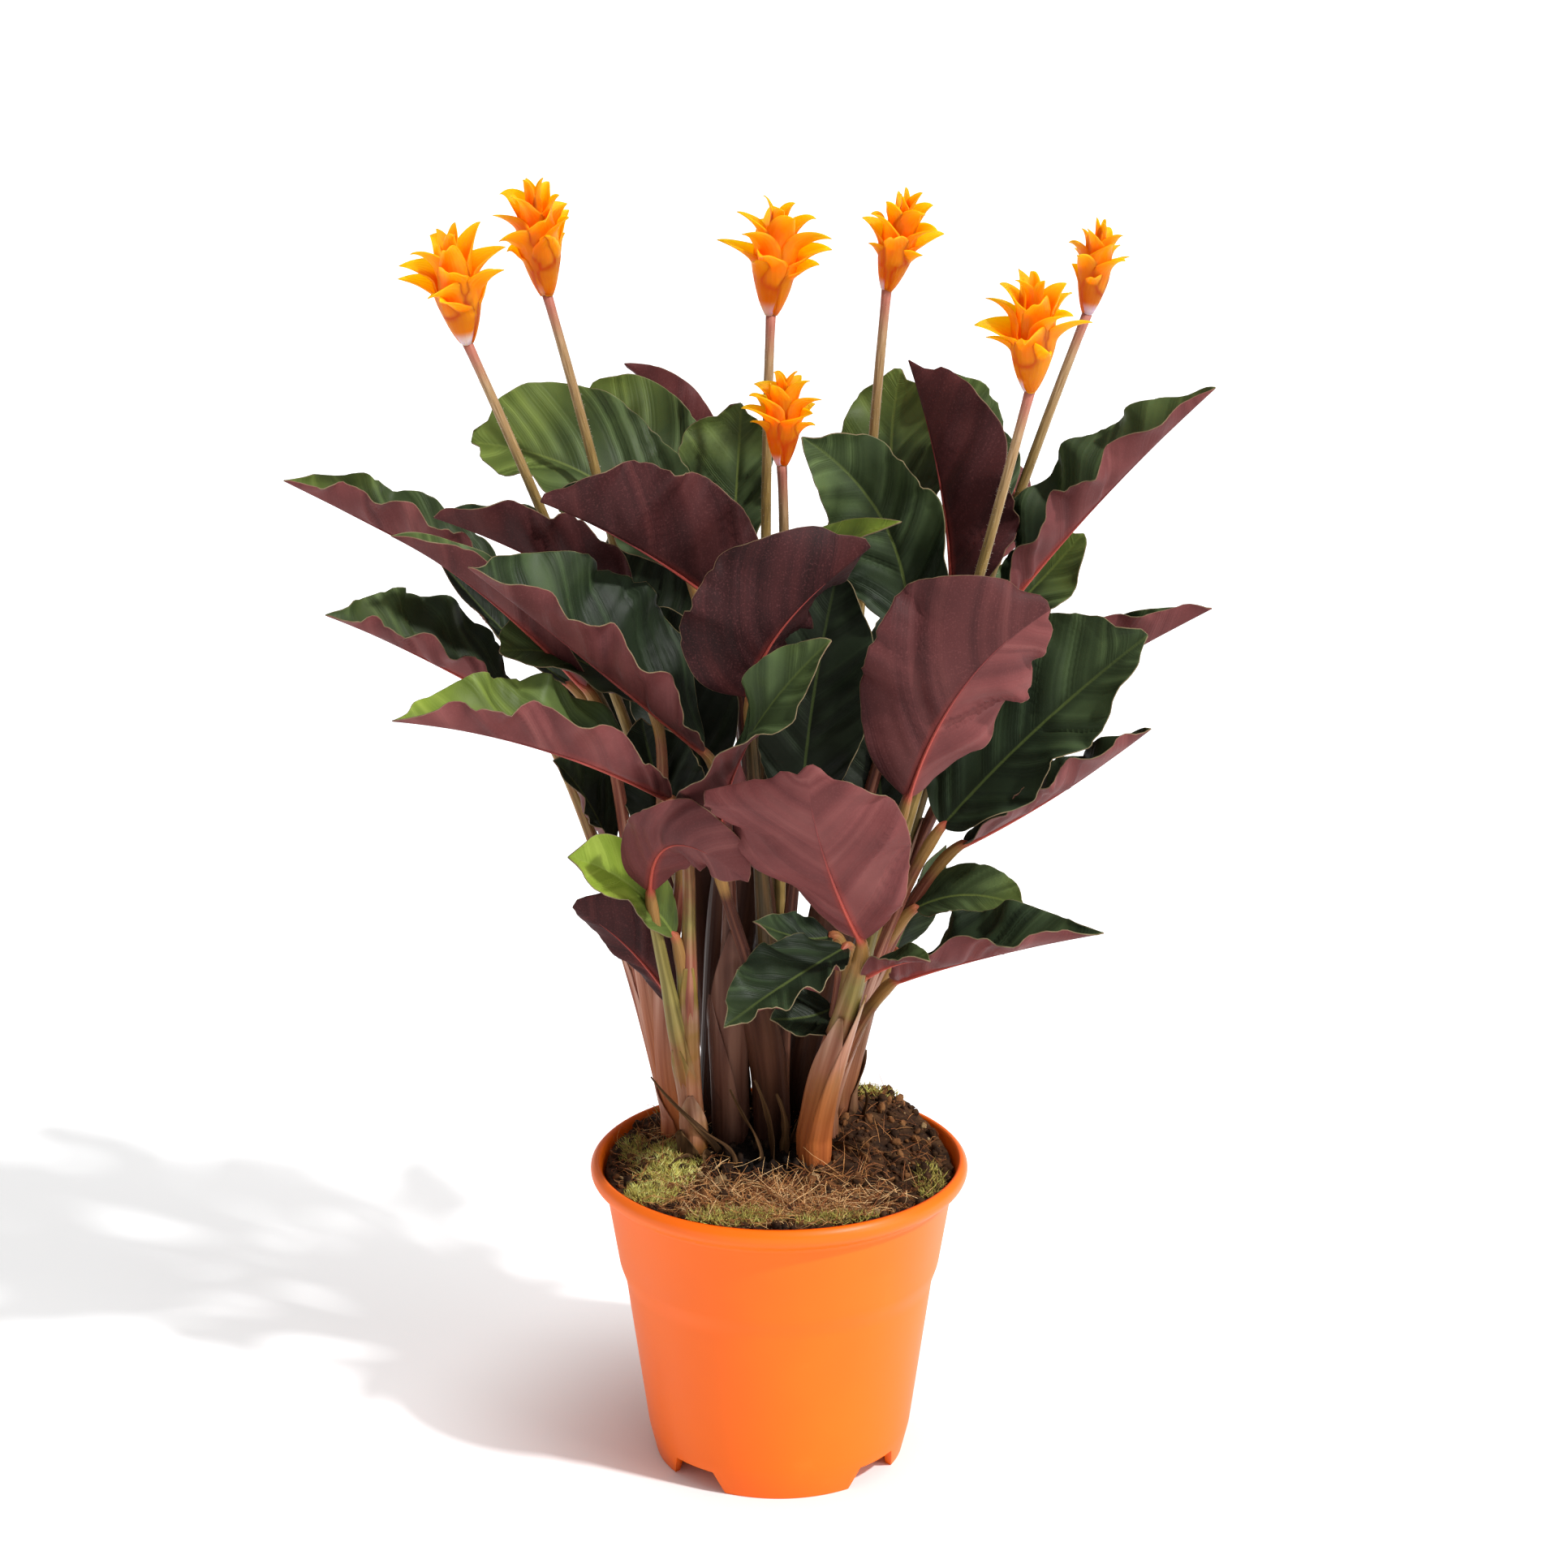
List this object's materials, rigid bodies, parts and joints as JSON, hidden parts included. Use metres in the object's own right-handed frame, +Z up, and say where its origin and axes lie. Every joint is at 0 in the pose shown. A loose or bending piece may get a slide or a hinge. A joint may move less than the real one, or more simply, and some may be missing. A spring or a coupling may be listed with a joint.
{
  "type": "potted calathea",
  "caption": "Flowering calathea in a round nursery pot: wavy dark green leaves with wine undersides on sheathed stems, and orange torch blooms on tall stalks above them.",
  "frame": {"origin": "centre of the pot's underside, on the surface that the pot stands on", "axes": "+Z up along the pot's axis, front of the plant towards -Y, its right side towards +X"},
  "size_m": [0.3356, 0.228, 0.4709],
  "materials": {
    "pot": "satin",
    "soil": "matte",
    "moss": "matte",
    "fibre": "matte",
    "leaf": "satin",
    "leaf_under": "matte",
    "stem": "satin",
    "bloom": "satin"
  },
  "bodies": {
    "root": {"pot": "pot", "soil": "soil", "shoot_front": "leaf", "shoot_right_front": "leaf", "shoot_centre": "leaf", "shoot_middle": "leaf", "shoot_left_front": "leaf", "shoot_left_middle": "leaf", "shoot_left": "leaf", "shoot_back_left": "leaf", "shoot_back": "leaf", "shoot_back_middle": "leaf", "shoot_right": "leaf", "shoot_back_right": "leaf", "flower_1": "bloom", "flower_2": "bloom", "flower_3": "bloom", "flower_4": "bloom", "flower_5": "bloom", "flower_6": "bloom", "flower_7": "bloom"}
  },
  "joints": []
}
